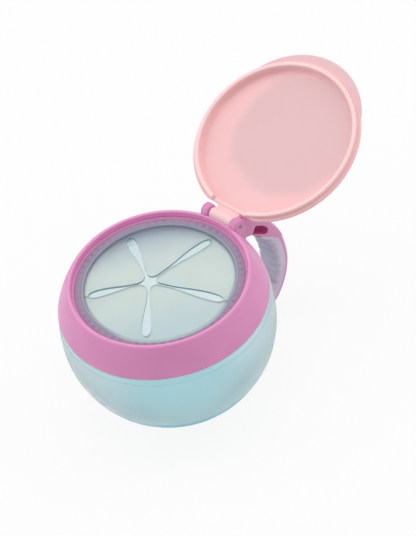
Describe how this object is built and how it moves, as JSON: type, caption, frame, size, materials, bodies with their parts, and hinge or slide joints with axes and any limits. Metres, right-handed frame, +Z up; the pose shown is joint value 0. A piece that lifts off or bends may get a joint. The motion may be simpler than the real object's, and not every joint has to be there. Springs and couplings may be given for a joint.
{
  "type": "toddler snack container",
  "caption": "Round snack bowl with a screw-on handled collar, a soft slit membrane that lets a hand in, and a hinged lid that folds right back.",
  "frame": {"origin": "centre of the bowl's flat base, on the surface it stands on", "axes": "+Z up along the bowl's axis, +Y towards the hinge and the handle, -Y towards the mouth's front where the closed lid's thumb tab lies, X along the hinge pin"},
  "size_m": [0.1, 0.1782, 0.109],
  "materials": {
    "bowl_plastic": "clear tinted, polished",
    "ring_plastic": "clear tinted, polished",
    "membrane_rubber": "soft, translucent, satin",
    "collar_plastic": "satin to gloss",
    "grip_rubber": "soft touch, matte",
    "pin_steel": "drawn wire",
    "lid_plastic": "translucent, satin"
  },
  "bodies": {
    "bowl": {"bowl": "bowl_plastic"},
    "flap_insert": {"flap_ring": "ring_plastic", "flap_membrane": "membrane_rubber"},
    "collar": {"collar": "collar_plastic", "handle_grip": "grip_rubber", "hinge_pin": "pin_steel"},
    "lid": {"lid": "lid_plastic"}
  },
  "joints": [
    {"name": "insert_lift", "type": "slide", "parent": "bowl", "child": "flap_insert", "axis": [0, 0, 1], "range_m": [0, 0.016]},
    {"name": "collar_twist", "type": "hinge", "parent": "flap_insert", "child": "collar", "pos_m": [0, 0, 0.066], "axis": [0, 0, 1], "range_deg": [0, 360]},
    {"name": "lid_hinge", "type": "hinge", "parent": "collar", "child": "lid", "pos_m": [0, 0.0442, 0.0749], "axis": [1, 0, 0], "range_deg": [0, 157.5]}
  ],
  "couplings": [
    {"joint": "insert_lift", "follows": "collar_twist", "m_per_rad": 0.0025465}
  ]
}
